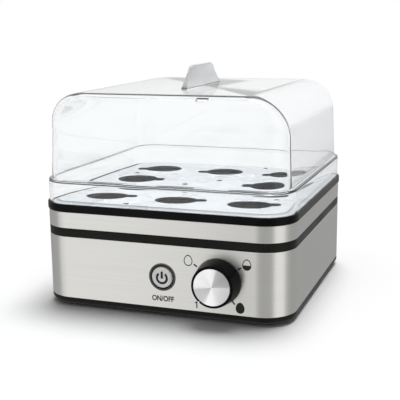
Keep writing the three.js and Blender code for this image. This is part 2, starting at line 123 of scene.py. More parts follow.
def make_camera():
    """A camera to the right of the front and a little above the object, rolled slightly."""
    azimuth, elevation, roll = (math.radians(turn) for turn in (19.89, 12.18, -0.7))
    place = Vector((236.0, CENTRE_Y - 659.15, 220.2)) * MM
    back = Vector((math.sin(azimuth) * math.cos(elevation), -math.cos(azimuth) * math.cos(elevation),
                   math.sin(elevation)))
    right = (-back).cross(Vector((0, 0, 1))).normalized()
    up = back.cross(right)
    right_rolled = right * math.cos(roll) + up * math.sin(roll)
    up_rolled = up * math.cos(roll) - right * math.sin(roll)
    data = bpy.data.cameras.new("photo_camera")
    data.sensor_width = 36
    data.lens = 76.35
    camera = bpy.data.objects.new("photo_camera", data)
    turn = Matrix((right_rolled, up_rolled, back)).transposed().to_4x4()
    camera.matrix_world = Matrix.Translation(place) @ turn
    bpy.context.scene.collection.objects.link(camera)
    bpy.context.scene.camera = camera


make_camera()


# ---------- mesh tools ----------

def corner_ring(half_x, half_y, radius, steps):
    """Points round a rectangle with rounded corners, with one more point on each flat beside each arc."""
    points = []
    beside = 1.5
    for corner, (side_x, side_y) in enumerate(((1, 1), (-1, 1), (-1, -1), (1, -1))):
        centre_x, centre_y = side_x * (half_x - radius), side_y * (half_y - radius)
        start = corner * math.pi / 2
        arc = [(centre_x + radius * math.cos(start + k * math.pi / 2 / steps),
                centre_y + radius * math.sin(start + k * math.pi / 2 / steps)) for k in range(steps + 1)]
        first = (math.sin(start) * beside, -math.cos(start) * beside)
        last = (-math.sin(start + math.pi / 2) * beside, math.cos(start + math.pi / 2) * beside)
        points.append((arc[0][0] + first[0], arc[0][1] + first[1]))
        points.extend(arc)
        points.append((arc[-1][0] + last[0], arc[-1][1] + last[1]))
    return points


def add_ring(bm, half_x, half_y, radius, z):
    corner_steps = 20
    return [bm.verts.new((x * MM, (CENTRE_Y + y) * MM, z * MM))
            for x, y in corner_ring(half_x, half_y, radius, corner_steps)]


def bridge(bm, lower, upper):
    count = len(lower)
    for i in range(count):
        j = (i + 1) % count
        bm.faces.new((lower[i], lower[j], upper[j], upper[i]))


def rings_between(bm, rings, closed):
    """Skins neighbouring rings; the loop closes on itself, or the two end rings get flat caps."""
    made = [add_ring(bm, *ring) for ring in rings]
    for lower, upper in zip(made, made[1:]):
        bridge(bm, lower, upper)
    if closed:
        bridge(bm, made[-1], made[0])
    else:
        bm.faces.new(list(reversed(made[0])))
        bm.faces.new(made[-1])


def square_rings(profile, core=CORNER_CORE):
    return [(s, s, s - core, z) for s, z in profile]


def rectangle(left, right, bottom, top):
    return [(left, bottom), (right, bottom), (right, top), (left, top)]


def arc(across, up, radius, start, end, steps):
    """Points of a circular arc, angles in degrees."""
    turns = [math.radians(start + (end - start) * k / steps) for k in range(steps + 1)]
    return [(across + radius * math.cos(t), up + radius * math.sin(t)) for t in turns]


def add_lathe(bm, profile, centre, axis, segments=96):
    """Turns (radius, along) points about a line along axis 1 (Y) or 2 (Z) through centre."""
    def point(radius, along, turn):
        if axis == 1:
            return Vector((centre[0] + radius * math.cos(turn), along, centre[2] + radius * math.sin(turn)))
        return Vector((centre[0] + radius * math.cos(turn), centre[1] + radius * math.sin(turn), along))

    rings = []
    for radius, along in profile:
        if radius == 0:
            rings.append([bm.verts.new(point(0, along, 0) * MM)])
        else:
            rings.append([bm.verts.new(point(radius, along, 2 * math.pi * k / segments) * MM)
                          for k in range(segments)])
    for lower, upper in zip(rings, rings[1:]):
        for k in range(segments):
            n = (k + 1) % segments
            corners = [lower[k % len(lower)], lower[n % len(lower)],
                       upper[n % len(upper)], upper[k % len(upper)]]
            unique = list(dict.fromkeys(corners))
            if len(unique) > 2:
                bm.faces.new(unique)


def link(name, mesh):
    piece = bpy.data.objects.new(name, mesh)
    bpy.context.scene.collection.objects.link(piece)
    return piece


def made_from(bm, name):
    bmesh.ops.recalc_face_normals(bm, faces=bm.faces)
    mesh = bpy.data.meshes.new(name)
    bm.to_mesh(mesh)
    bm.free()
    return link(name, mesh)


def rings_piece(name, rings, closed):
    bm = bmesh.new()
    rings_between(bm, rings, closed)
    return made_from(bm, name)


def lathe_piece(name, profile, centre, axis, segments=96):
    bm = bmesh.new()
    add_lathe(bm, profile, centre, axis, segments)
    return made_from(bm, name)


def box_piece(name, low, high, rounding=0.0):
    bm = bmesh.new()
    bmesh.ops.create_cube(bm, size=1)
    for v in bm.verts:
        v.co = Vector([(lo + hi) / 2 + co * (hi - lo) for lo, hi, co in zip(low, high, v.co)]) * MM
    if rounding:
        bmesh.ops.bevel(bm, geom=bm.edges[:], offset=rounding * MM, segments=4, profile=0.5, affect="EDGES")
    return made_from(bm, name)


def drop(piece):
    data = piece.data
    bpy.data.objects.remove(piece)
    if isinstance(data, bpy.types.Mesh):
        bpy.data.meshes.remove(data)
    else:
        bpy.data.curves.remove(data)


def settle(piece):
    """Applies the piece's modifiers to its mesh."""
    bpy.context.view_layer.update()
    depsgraph = bpy.context.evaluated_depsgraph_get()
    mesh = bpy.data.meshes.new_from_object(piece.evaluated_get(depsgraph))
    piece.modifiers.clear()
    piece.data = mesh


def combine(piece, tools, operation):
    for tool in tools:
        modifier = piece.modifiers.new(tool.name, "BOOLEAN")
        modifier.operation = operation
        modifier.solver = "EXACT"
        modifier.object = tool
    settle(piece)
    for tool in tools:
        drop(tool)


def flat_shape(name, outlines, thickness, rounding=0.0):
    """A plate in the XY plane from closed outlines; an outline inside another is a hole."""
    curve = bpy.data.curves.new(name, "CURVE")
    curve.dimensions = "2D"
    curve.fill_mode = "BOTH"
    curve.extrude = (thickness / 2 - rounding) * MM
    curve.bevel_depth = rounding * MM
    curve.offset = -rounding * MM
    curve.bevel_resolution = 3
    for outline in outlines:
        spline = curve.splines.new("POLY")
        spline.points.add(len(outline) - 1)
        for place, (x, y) in zip(spline.points, outline):
            place.co = (x * MM, y * MM, 0, 1)
        spline.use_cyclic_u = True
    return meshed(curve, name)


def meshed(curve, name):
    """Turns a curve or a text into a mesh object."""
    source = link(name + "_curve", curve)
    bpy.context.view_layer.update()
    depsgraph = bpy.context.evaluated_depsgraph_get()
    mesh = bpy.data.meshes.new_from_object(source.evaluated_get(depsgraph))
    drop(source)
    piece = link(name, mesh)
    bm = bmesh.new()
    bm.from_mesh(mesh)
    bmesh.ops.remove_doubles(bm, verts=bm.verts, dist=1e-7)
    bmesh.ops.recalc_face_normals(bm, faces=bm.faces)
    bm.to_mesh(mesh)
    bm.free()
    return piece


def move(piece, matrix):
    piece.data.transform(matrix)


def finish_piece(piece, material, body, nodes=(), sharp=32):
    mesh = piece.data
    mesh.materials.clear()
    mesh.materials.append(material)
    mesh.shade_smooth()
    mesh.set_sharp_from_angle(angle=math.radians(sharp))
    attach(piece, body)
    if nodes:
        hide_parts(*nodes)


# ---------- materials ----------

def shader(name, color, roughness, metallic=0.0):
    material = bpy.data.materials.new(name)
    material.use_nodes = True
    principled = material.node_tree.nodes["Principled BSDF"]
    principled.inputs["Base Color"].default_value = (*color, 1)
    principled.inputs["Roughness"].default_value = roughness
    principled.inputs["Metallic"].default_value = metallic
    return material, principled


def node(material, kind, **values):
    made = material.node_tree.nodes.new(kind)
    for key, value in values.items():
        if hasattr(made, key):
            setattr(made, key, value)
        else:
            made.inputs[key.replace("_", " ")].default_value = value
    return made


def join(material, out, into):
    material.node_tree.links.new(out, into)


def noise(material, scale, stretch=(1, 1, 1), detail=3):
    """Noise in object space, stretched per axis; scale is in features per metre."""
    place = node(material, "ShaderNodeTexCoord")
    mapping = node(material, "ShaderNodeMapping")
    mapping.inputs["Scale"].default_value = stretch
    join(material, place.outputs["Object"], mapping.inputs["Vector"])
    texture = node(material, "ShaderNodeTexNoise", Scale=scale, Detail=detail)
    join(material, mapping.outputs["Vector"], texture.inputs["Vector"])
    return texture.outputs["Fac"]


def between(material, value, start, end, low, high):
    """Maps start to end onto low to high, and holds the ends."""
    ramp = node(material, "ShaderNodeMapRange")
    ramp.inputs["From Min"].default_value = start
    ramp.inputs["From Max"].default_value = end
    ramp.inputs["To Min"].default_value = low
    ramp.inputs["To Max"].default_value = high
    join(material, value, ramp.inputs["Value"])
    return ramp.outputs["Result"]


def spread(material, value, low, high):
    """Maps noise to the range low to high."""
    return between(material, value, 0.3, 0.7, low, high)


def tinted(material, value, dark, light):
    """A colour from dark to light as the value goes from 0 to 1."""
    mix = node(material, "ShaderNodeMix", data_type="RGBA")
    mix.inputs[6].default_value = (*dark, 1)
    mix.inputs[7].default_value = (*light, 1)
    join(material, value, mix.inputs[0])
    return mix.outputs[2]


def bump(material, principled, value, distance, strength=1.0):
    relief = node(material, "ShaderNodeBump", Strength=strength, Distance=distance)
    join(material, value, relief.inputs["Height"])
    join(material, relief.outputs["Normal"], principled.inputs["Normal"])


def brushed_steel():
    """Stainless sheet with a fine grain running level round the body."""
    material, principled = shader("brushed_steel", (0.66, 0.655, 0.63), 0.3, 1.0)
    fine = noise(material, 1.0, (14, 14, 5200), 4)
    broad = noise(material, 1.0, (5, 5, 700), 2)
    grain = tinted(material, spread(material, fine, 0, 1), (0.62, 0.615, 0.59), (0.685, 0.68, 0.655))
    join(material, grain, principled.inputs["Base Color"])
    join(material, spread(material, broad, 0.3, 0.325), principled.inputs["Roughness"])
    principled.inputs["Anisotropic"].default_value = 0.7
    principled.inputs["Anisotropic Rotation"].default_value = 0.25
    tangent = node(material, "ShaderNodeTangent", direction_type="RADIAL", axis="Z")
    join(material, tangent.outputs["Tangent"], principled.inputs["Tangent"])
    bump(material, principled, fine, 0.000004, 0.6)
    return material


def moulded(name, color, rough, grain=2500, relief=0.000006, gloss=0.0, shine=0.5):
    """Moulded plastic, rubber or lacquer with a faint surface grain and uneven gloss."""
    material, principled = shader(name, color, rough)
    principled.inputs["Specular IOR Level"].default_value = shine
    texture = noise(material, grain)
    cloud = noise(material, 45, detail=2)
    lighter = tuple(min(1.0, c * 1.12 + 0.002) for c in color)
    darker = tuple(c * 0.9 for c in color)
    mottled = tinted(material, spread(material, cloud, 0, 1), darker, lighter)
    join(material, mottled, principled.inputs["Base Color"])
    uneven = spread(material, cloud, rough * 0.85, min(1, rough * 1.15))
    join(material, uneven, principled.inputs["Roughness"])
    principled.inputs["Coat Weight"].default_value = gloss
    bump(material, principled, texture, relief)
    return material


def metal(name, color, rough, stretch=(1, 1, 1), grain=900):
    """Plain metal with drawn or cast marks."""
    material, principled = shader(name, color, rough, 1.0)
    texture = noise(material, grain, stretch)
    uneven = spread(material, texture, rough * 0.8, min(1, rough * 1.25))
    join(material, uneven, principled.inputs["Roughness"])
    bump(material, principled, texture, 0.000006)
    return material


# Painted reflection: grey of the turned face by angle round the knob's axis, in degrees from +X towards +Z;
# light and dark streaks painted into the base colour where the turned face would reflect the studio.
PAINTED_REFLECTION_RAYS = ((-180, 0.88), (-165, 0.58), (-125, 0.6), (-104, 0.92), (-60, 0.88), (0, 0.92), (12, 0.6), (40, 0.54),
        (68, 0.6), (80, 0.92), (130, 0.84), (168, 0.92), (180, 0.88))


def turned_metal_painted_reflection():
    """A face turned on a lathe: fine rings round the knob's axis, and the streaks of light they make, partly
    from their anisotropic gloss and partly painted into the base colour as painted reflection.
    """
    material, principled = shader("turned_metal_painted_reflection", (0.86, 0.865, 0.875), 0.26, 1.0)
    place = node(material, "ShaderNodeTexCoord")
    apart = node(material, "ShaderNodeVectorMath", operation="SUBTRACT")
    apart.inputs[1].default_value = (KNOB_X * MM, 0, KNOB_Z * MM)
    join(material, place.outputs["Object"], apart.inputs[0])
    level = node(material, "ShaderNodeVectorMath", operation="MULTIPLY")
    level.inputs[1].default_value = (1, 0, 1)
    join(material, apart.outputs[0], level.inputs[0])
    reach = node(material, "ShaderNodeVectorMath", operation="LENGTH")
    join(material, level.outputs[0], reach.inputs[0])
    grooves = node(material, "ShaderNodeTexNoise", noise_dimensions="1D", Scale=9000.0, Detail=2.0)
    join(material, reach.outputs["Value"], grooves.inputs["W"])
    join(material, spread(material, grooves.outputs["Fac"], 0.2, 0.34), principled.inputs["Roughness"])
    parts = node(material, "ShaderNodeSeparateXYZ")
    join(material, level.outputs[0], parts.inputs[0])
    turn = node(material, "ShaderNodeMath", operation="ARCTAN2")
    join(material, parts.outputs["Z"], turn.inputs[0])
    join(material, parts.outputs["X"], turn.inputs[1])
    # Painted reflection: the base colour steps light and dark by angle round the axis.
    painted_streaks = node(material, "ShaderNodeValToRGB")
    painted_streaks.color_ramp.interpolation = "EASE"
    stops = painted_streaks.color_ramp.elements
    for count, (degrees, grey) in enumerate(PAINTED_REFLECTION_RAYS):
        at = degrees / 360 + 0.5
        stop = stops[count] if count < 2 else stops.new(at)
        stop.position = at
        stop.color = (grey, grey, grey * 1.01, 1)
    join(material, between(material, turn.outputs[0], -math.pi, math.pi, 0, 1), painted_streaks.inputs[0])
    join(material, painted_streaks.outputs[0], principled.inputs["Base Color"])
    principled.inputs["Anisotropic"].default_value = 0.85
    round_axis = node(material, "ShaderNodeVectorMath", operation="CROSS_PRODUCT")
    round_axis.inputs[1].default_value = (0, 1, 0)
    join(material, level.outputs[0], round_axis.inputs[0])
    unit = node(material, "ShaderNodeVectorMath", operation="NORMALIZE")
    join(material, round_axis.outputs[0], unit.inputs[0])
    principled.inputs["Anisotropic Rotation"].default_value = 0.25
    join(material, unit.outputs[0], principled.inputs["Tangent"])
    bump(material, principled, grooves.outputs["Fac"], 0.000003)
    return material


def let_light_through(material, principled, tint):
    """Shadows under clear plastic stay faint: light on its way to a lamp meets only a thin tint."""
    through = node(material, "ShaderNodeBsdfTransparent")
    through.inputs["Color"].default_value = (*tint, 1)
    either = node(material, "ShaderNodeMixShader")
    join(material, node(material, "ShaderNodeLightPath").outputs["Is Shadow Ray"], either.inputs[0])
    join(material, principled.outputs[0], either.inputs[1])
    join(material, through.outputs[0], either.inputs[2])
    join(material, either.outputs[0], material.node_tree.nodes["Material Output"].inputs["Surface"])


def clear_plastic(name, tint, rough, grain):
    """Clear moulded plastic with a trace of mould texture; the handle above the roof is hazier."""
    material, principled = shader(name, tint, rough)
    lift = node(material, "ShaderNodeSeparateXYZ")
    join(material, node(material, "ShaderNodeTexCoord").outputs["Object"], lift.inputs[0])
    roof, handle = DOME_TOP * MM, (DOME_TOP + 2) * MM
    clearness = between(material, lift.outputs["Z"], roof, handle, 0.995, 0.72)
    join(material, clearness, principled.inputs["Transmission Weight"])
    haze = between(material, lift.outputs["Z"], roof, handle, 0, 0.35)
    principled.inputs["IOR"].default_value = 1.49
    principled.inputs["Specular IOR Level"].default_value = 0.2
    wave = noise(material, grain, detail=1)
    total = node(material, "ShaderNodeMath", operation="ADD")
    join(material, spread(material, wave, rough * 0.6, rough * 1.4), total.inputs[0])
    join(material, haze, total.inputs[1])
    join(material, total.outputs[0], principled.inputs["Roughness"])
    bump(material, principled, wave, 0.00001, 0.15)
    let_light_through(material, principled, (0.94, 0.95, 0.95))
    depth_tint = node(material, "ShaderNodeVolumeAbsorption", Density=12.0)
    depth_tint.inputs["Color"].default_value = (0.5, 0.53, 0.54, 1)
    join(material, depth_tint.outputs[0], material.node_tree.nodes["Material Output"].inputs["Volume"])
    return material


def frosted_plastic_painted_shade():
    """The tray's plastic: level faces whitened by a mould texture, cut edges painted near black, a painted
    shade standing in for the dark dish seen through them.
    """
    material, principled = shader("frosted_plastic_painted_shade", (0.9, 0.92, 0.95), 0.3)
    principled.inputs["Transmission Weight"].default_value = 0.2
    principled.inputs["IOR"].default_value = 1.49
    principled.inputs["Coat Weight"].default_value = 0.25
    principled.inputs["Coat Roughness"].default_value = 0.08
    cloud = noise(material, 30, detail=1)
    flat = tinted(material, spread(material, cloud, 0, 1), (0.46, 0.475, 0.5), (0.53, 0.545, 0.565))
    lean = node(material, "ShaderNodeSeparateXYZ")
    join(material, node(material, "ShaderNodeNewGeometry").outputs["Normal"], lean.inputs[0])
    level = node(material, "ShaderNodeMath", operation="ABSOLUTE")
    join(material, lean.outputs["Z"], level.inputs[0])
    # Painted shade: steep faces, the cut edges of the holes, get a near-black base colour.
    faces = node(material, "ShaderNodeMix", data_type="RGBA")
    faces.inputs[6].default_value = (0.015, 0.016, 0.02, 1)
    join(material, flat, faces.inputs[7])
    join(material, between(material, level.outputs[0], 0.5, 0.85, 0, 1), faces.inputs[0])
    join(material, faces.outputs[2], principled.inputs["Base Color"])
    join(material, spread(material, cloud, 0.25, 0.35), principled.inputs["Roughness"])
    bump(material, principled, noise(material, 1400, detail=2), 0.00001, 0.3)
    let_light_through(material, principled, (0.35, 0.36, 0.38))
    return material


STEEL_FINISH = brushed_steel()
BLACK = moulded("black_plastic", (0.011, 0.011, 0.01), 0.36, shine=0.1)
GLOSS_BLACK = moulded("gloss_black", (0.002, 0.002, 0.002), 0.2, grain=600, relief=0.000003, shine=0.07)
KNOB_BLACK = moulded("knob_black", (0.001, 0.001, 0.001), 0.3, grain=600, relief=0.000003, shine=0.05)
RUBBER = moulded("foot_rubber", (0.02, 0.02, 0.02), 0.8, grain=1800, relief=0.00003, shine=0.3)
COATING = moulded("dish_coating", (0.003, 0.003, 0.005), 0.42, grain=4200, relief=0.00001, shine=0.05)
SILVER = moulded("button_silver", (0.95, 0.95, 0.94), 0.3, grain=3800, gloss=0.4)
SMOKED = moulded("bezel_grey", (0.045, 0.045, 0.035), 0.25, shine=0.8)
INK = moulded("panel_ink", (0.02, 0.02, 0.019), 0.5, shine=0.2)
TURNED_PAINTED_REFLECTION = turned_metal_painted_reflection()
CLEAR = clear_plastic("clear_lid", (0.975, 0.985, 0.99), 0.015, 30)
FROSTED_PAINTED_SHADE = frosted_plastic_painted_shade()


# ---------- housing ----------

def round_cutter(name, radius, x, z, low, high):
    return lathe_piece(name, [(0, low), (radius, low), (radius, high), (0, high)], (x, 0, z), 1, 64)


def steel_rings(bottom, top):
    edge = 0.15
    inner = BODY_HALF - STEEL
    return square_rings([(inner, bottom), (BODY_HALF - edge, bottom), (BODY_HALF, bottom + edge),
                         (BODY_HALF, top - edge), (BODY_HALF - edge, top), (inner, top)])


def make_steel():
    sleeve = rings_piece("steel_sleeve", steel_rings(SLEEVE_BOTTOM, SLEEVE_TOP), True)
    combine(sleeve, [
        round_cutter("button_hole", 10.1, BUTTON_X, BUTTON_Z, PANEL - 5, PANEL + 5),
        round_cutter("knob_hole", 4.5, KNOB_X, KNOB_Z, PANEL - 5, PANEL + 5),
        round_cutter("gland_hole", 5.9, GLAND_X, GLAND_Z, BACK - 5, BACK + 5),
    ], "DIFFERENCE")
    finish_piece(sleeve, STEEL_FINISH, "base", ["lower_sleeve"])
    band = rings_piece("steel_band", steel_rings(BAND_BOTTOM, BAND_TOP), True)
    finish_piece(band, STEEL_FINISH, "base", ["upper_band"])


def make_middle_ring():
    face = BODY_HALF - 0.1
    back = BEHIND - RING_WALL
    edge = 0.5
    profile = [
        (back, SLEEVE_TOP - RING_TONGUE), (BEHIND, SLEEVE_TOP - RING_TONGUE), (BEHIND, SLEEVE_TOP),
        *arc(face - edge, SLEEVE_TOP + edge, edge, -90, 0, 4),
        *arc(face - edge, BAND_BOTTOM - edge, edge, 0, 90, 4),
        (BEHIND, BAND_BOTTOM), (BEHIND, BAND_BOTTOM + RING_TONGUE), (back, BAND_BOTTOM + RING_TONGUE),
    ]
    ring = rings_piece("black_middle_ring", square_rings(profile), True)
    finish_piece(ring, BLACK, "base", ["middle_ring"])


def add_posts(bm, profile):
    for side_x in (-1, 1):
        for side_y in (-1, 1):
            add_lathe(bm, profile, (side_x * POST_PLACE, CENTRE_Y + side_y * POST_PLACE, 0), 2, 32)


def make_collar():
    bulge = BODY_HALF + 0.7
    mouth = FLANGE_HALF + 0.3
    lip = 0.6
    inner = (LEDGE_OPENING, LEDGE_OPENING, LEDGE_OPENING - DISH_CORE)
    outside = square_rings([
        (BEHIND - RING_WALL, LEDGE_UNDER), (BEHIND - RING_WALL, BAND_TOP - RING_TONGUE),
        (BEHIND, BAND_TOP - RING_TONGUE), (BEHIND, BAND_TOP), (BODY_HALF + 0.2, BAND_TOP),
        *arc(bulge - 0.5, BAND_TOP + 0.9, 0.5, -60, 0, 4), *arc(bulge - 1.1, COLLAR_TOP - 1.1, 1.1, 0, 75, 7),
        *arc(mouth + 0.15, COLLAR_TOP - 0.15, 0.15, 90, 180, 3), (mouth, LEDGE_TOP + lip),
        *arc(mouth - lip, LEDGE_TOP + lip, lip, 0, -90, 4)[1:],
    ])
    collar = bmesh.new()
    rings_between(collar, [(*inner, LEDGE_UNDER), *outside, (*inner, LEDGE_TOP)], True)
    low, bore_end = 50.2, 66
    add_posts(collar, [(POST_BORE, low), (COLLAR_POST, low), (COLLAR_POST, LEDGE_UNDER + 0.5),
                       (0, LEDGE_UNDER + 0.5), (0, bore_end), (POST_BORE, bore_end), (POST_BORE, low)])
    finish_piece(made_from(collar, "black_collar"), GLOSS_BLACK, "base", ["top_collar"])


def make_pan():
    floor = PAN_BOTTOM + 2.5
    inner = BEHIND - RING_WALL
    edge = 3
    upstand = 20
    profile = [
        *arc(BODY_HALF - edge, PAN_BOTTOM + edge, edge, -90, 0, 8), (BODY_HALF, SLEEVE_BOTTOM),
        (BEHIND, SLEEVE_BOTTOM), (BEHIND, upstand), (inner, upstand), (inner, floor),
    ]
    pan = rings_piece("black_base_pan", square_rings(profile), False)
    cut = 9
    slots = [box_piece(f"slot_{i}", (x - 2, CENTRE_Y - 15, 0), (x + 2, CENTRE_Y + 15, cut))
             for i, x in enumerate(range(-24, 25, 12))]
    bores = []
    for side_x in (-1, 1):
        for side_y in (-1, 1):
            for place, radius in ((POST_PLACE, SCREW_HEAD_BORE), (FOOT_PLACE, FOOT_BORE)):
                centre = (side_x * place, CENTRE_Y + side_y * place, 0)
                outline = [(0, 0), (radius, 0), (radius, cut), (0, cut)]
                bores.append(lathe_piece("bore", outline, centre, 2, 32))
    combine(pan, slots + bores, "DIFFERENCE")
    posts = bmesh.new()
    posts.from_mesh(pan.data)
    low, seat, top = PAN_BOTTOM + 0.1, 39.4, 50
    add_posts(posts, [(SCREW_HEAD_BORE, low), (PAN_POST, low), (PAN_POST, top), (POST_BORE, top),
                      (POST_BORE, seat), (SCREW_HEAD_BORE, seat), (SCREW_HEAD_BORE, low)])
    posts.to_mesh(pan.data)
    posts.free()
    finish_piece(pan, BLACK, "base", ["base_pan"])


def make_feet():
    seat = PAN_BOTTOM - 0.05
    stem, stem_top, hollow = 3, 5.6, 0.25
    profile = [(0, hollow), (4.6, hollow), (5, 0), *arc(7.2, 0.8, 0.8, -90, 0, 5), (8, seat),
               (stem, seat), (stem, stem_top), (0, stem_top)]
    for corner in ("front_left", "front_right", "rear_left", "rear_right"):
        x, y, _ = middle(f"foot_{corner}")
        foot = lathe_piece(f"rubber_foot_{corner}", profile, (x, y, 0), 2, 48)
        finish_piece(foot, RUBBER, "base", [f"foot_{corner}"])


def make_gland():
    low, outer = (corner[1] for corner in node_box("inlet_gland"))
    flange, neck, bore = 8, 5.6, 3.6
    profile = [(bore, low), (neck, low), (neck, BACK + 0.05), (flange, BACK + 0.05), (flange, BACK + 2),
               *arc(flange - 1.6, outer - 1.6, 1.6, 0, 90, 6), *arc(bore + 0.8, outer - 0.8, 0.8, 90, 180, 4),
               (bore, low)]
    gland = lathe_piece("cord_gland", profile, (GLAND_X, 0, GLAND_Z), 1, 64)
    finish_piece(gland, BLACK, "base", ["inlet_gland"])


# ---------- water dish ----------

def make_dish():
    wall = DISH_RIM_HALF - 4.8
    sheet = 1.2
    bend = 4
    profile = [
        *arc(wall - bend, DISH_FLOOR + bend, bend, -90, 0, 8), (wall, DISH_RIM - 1),
        (DISH_RIM_HALF, DISH_RIM - 1), (DISH_RIM_HALF, DISH_RIM), (wall - sheet, DISH_RIM),
        *arc(wall - bend, DISH_FLOOR + bend, bend - sheet, 0, -90, 8),
    ]
    dish = rings_piece("water_dish", square_rings(profile, DISH_CORE), False)
    finish_piece(dish, COATING, "base", ["heating_dish"])


# ---------- knob and button ----------

def make_knob():
    front, base = (corner[1] for corner in node_box("knob"))
    base_radius, front_radius, recess = 17.6, 15.7, 14.1
    seat, inside = front + 1.3, front + 2.8
    hub, bore = 6, 3.1
    profile = [
        (0, seat), (recess, seat), *arc(recess + 0.25, front + 0.25, 0.25, 180, 270, 4),
        *arc(front_radius - 0.7, front + 0.7, 0.7, -90, 0, 7), (base_radius - 0.25, base - 2.2),
        *arc(base_radius - 0.4, base - 0.4, 0.4, 0, 90, 4), (base_radius - 2.2, base),
        (front_radius - 2.1, inside), (hub, inside), (hub, base - 0.7), (bore, base - 0.7), (bore, inside),
        (0, inside),
    ]
    knob = lathe_piece("knob_body", profile, (KNOB_X, 0, KNOB_Z), 1, 128)
    to_first_mark = 130
    pointer = box_piece("pointer", (front_radius - 1.1, front - 1, -0.5),
                        (front_radius + 3, front + 4, 0.5), 0.3)
    move(pointer, Matrix.Translation(Vector((KNOB_X, 0, KNOB_Z)) * MM)
         @ Matrix.Rotation(math.radians(to_first_mark), 4, "Y"))
    combine(knob, [pointer], "DIFFERENCE")
    finish_piece(knob, KNOB_BLACK, "timer_knob", ["knob"])
    face, back = (corner[1] for corner in node_box("knob_cap"))
    rim = 13.8
    profile = [(0, face), (rim - 0.6, face), (rim - 0.15, face + 0.12), (rim, face + 0.45),
               (rim, back), (0, back)]
    cap = lathe_piece("knob_face", profile, (KNOB_X, 0, KNOB_Z), 1, 128)
    finish_piece(cap, TURNED_PAINTED_REFLECTION, "timer_knob", ["knob_cap"], sharp=20)


def power_mark(x, y, z):
    """The usual sign: a ring open at the top with a bar through the gap."""
    outer, inner = 4.8, 3.15
    start, end = 90 + 38, 450 - 38
    ring = arc(0, 0, outer, start, end, 40) + arc(0, 0, inner, end, start, 40)
    bar = rectangle(-0.85, 0.85, -0.4, 5)
    mark = flat_shape("power_mark", [ring, bar], 0.1)
    move(mark, Matrix.Translation(Vector((x, y, z)) * MM) @ Matrix.Rotation(math.radians(90), 4, "X"))
    return mark


def make_button():
    front, barrel_end = (corner[1] for corner in node_box("button_bezel"))
    bore, barrel, flange = 8.3, 9.8, 10.6
    profile = [(bore, front + 1.4), *arc(9.9, front + 0.35, 0.35, 200, 270, 4),
               *arc(10.3, front + 0.3, 0.3, -90, 0, 4), (flange, PANEL - 0.05), (barrel, PANEL - 0.05),
               (barrel, barrel_end), (bore, barrel_end), (bore, front + 1.4)]
    bezel = lathe_piece("button_ring", profile, (BUTTON_X, 0, BUTTON_Z), 1)
    finish_piece(bezel, SMOKED, "base", ["button_bezel"])
    face, back = (corner[1] for corner in node_box("button_cap"))
    rim = 8
    profile = [(0, face), (rim - 0.9, face), *arc(rim - 0.6, face + 0.6, 0.6, -75, 0, 5),
               (rim, back), (0, back)]
    cap = lathe_piece("button_face", profile, (BUTTON_X, 0, BUTTON_Z), 1)
    finish_piece(cap, SILVER, "power_button", ["button_cap"])
    mark = power_mark(BUTTON_X, face - PRINT_LIFT, BUTTON_Z - 0.5)
    finish_piece(mark, INK, "power_button", ())


# ---------- print on the front wall ----------

def on_panel(piece, x, z):
    """Lays a plate made in the XY plane on the front wall."""
    place = Vector((x, PANEL - PRINT_LIFT, z)) * MM
    move(piece, Matrix.Translation(place) @ Matrix.Rotation(math.radians(90), 4, "X"))
    finish_piece(piece, INK, "base", ())


def egg(scale=1.0):
    """The outline of an egg standing on its wide end."""
    half_width, half_height, narrowing, steps = 3.35 * scale, 4.2 * scale, 0.13, 48
    points = []
    for k in range(steps):
        turn = 2 * math.pi * k / steps
        points.append((half_width * math.cos(turn) * (1 - narrowing * math.sin(turn)),
                       half_height * math.sin(turn)))
    return points


def around_knob(degrees, reach):
    turn = math.radians(degrees)
    return KNOB_X + reach * math.cos(turn), KNOB_Z + reach * math.sin(turn)


def label(name, text, height, x, z, squeeze):
    capital_height = 0.72       # of the font's size
    words = bpy.data.curves.new(name, "FONT")
    words.body = text
    words.size = height / capital_height * MM
    words.align_x = "CENTER"
    words.align_y = "CENTER"
    words.extrude = 0.05 * MM
    words.offset = 0.16 * MM
    piece = meshed(words, name)
    move(piece, Matrix.Diagonal((squeeze, 1, 1, 1)))
    on_panel(piece, x, z)


def make_print():
    thick = 0.08
    hollow = 0.83
    soft, medium, hard = around_knob(148.3, 27), around_knob(33.8, 26.3), around_knob(-47.6, 24.9)
    lower_half = [(x, y) for x, y in egg(hollow + 0.02) if y <= -0.2]
    on_panel(flat_shape("soft_egg_mark", [egg(), egg(hollow)], thick), *soft)
    on_panel(flat_shape("medium_egg_mark", [egg(), egg(hollow)], thick), *medium)
    on_panel(flat_shape("medium_egg_fill", [lower_half], thick), *medium)
    on_panel(flat_shape("hard_egg_mark", [egg()], thick), *hard)
    for name, degrees, reach in (("soft", 148, 20.4), ("medium", 34.7, 19.8), ("hard", -51.6, 19)):
        tick = flat_shape(f"{name}_tick", [rectangle(-1.6, 1.6, -0.55, 0.55)], thick)
        move(tick, Matrix.Rotation(math.radians(degrees), 4, "Z"))
        on_panel(tick, *around_knob(degrees, reach))
    digit = [(0.45, -2.65), (0.45, 2.65), (-0.25, 2.65), (-1.5, 1.5), (-1.5, 0.75), (-0.4, 1.45),
             (-0.4, -2.65)]
    on_panel(flat_shape("first_setting", [digit], thick), *around_knob(-130.8, 25.4))
    label("on_off_label", "ON/OFF", 4.1, BUTTON_X + 0.2, BUTTON_Z - 16.9, 0.85)


# ---------- egg tray ----------

def egg_hole(x, y, degrees):
    """A round hole with one finger lobe to the side."""
    corner = 4
    meet = math.degrees(math.asin(LOBE_HALF_WIDTH / EGG_RADIUS))
    outline = arc(0, 0, EGG_RADIUS, meet, 360 - meet, 60)
    outline += arc(LOBE_REACH - corner, corner - LOBE_HALF_WIDTH, corner, -90, 0, 8)
    outline += arc(LOBE_REACH - corner, LOBE_HALF_WIDTH - corner, corner, 0, 90, 8)
    turn = math.radians(degrees)
    return [(x + px * math.cos(turn) - py * math.sin(turn), y + px * math.sin(turn) + py * math.cos(turn))
            for px, py in outline]


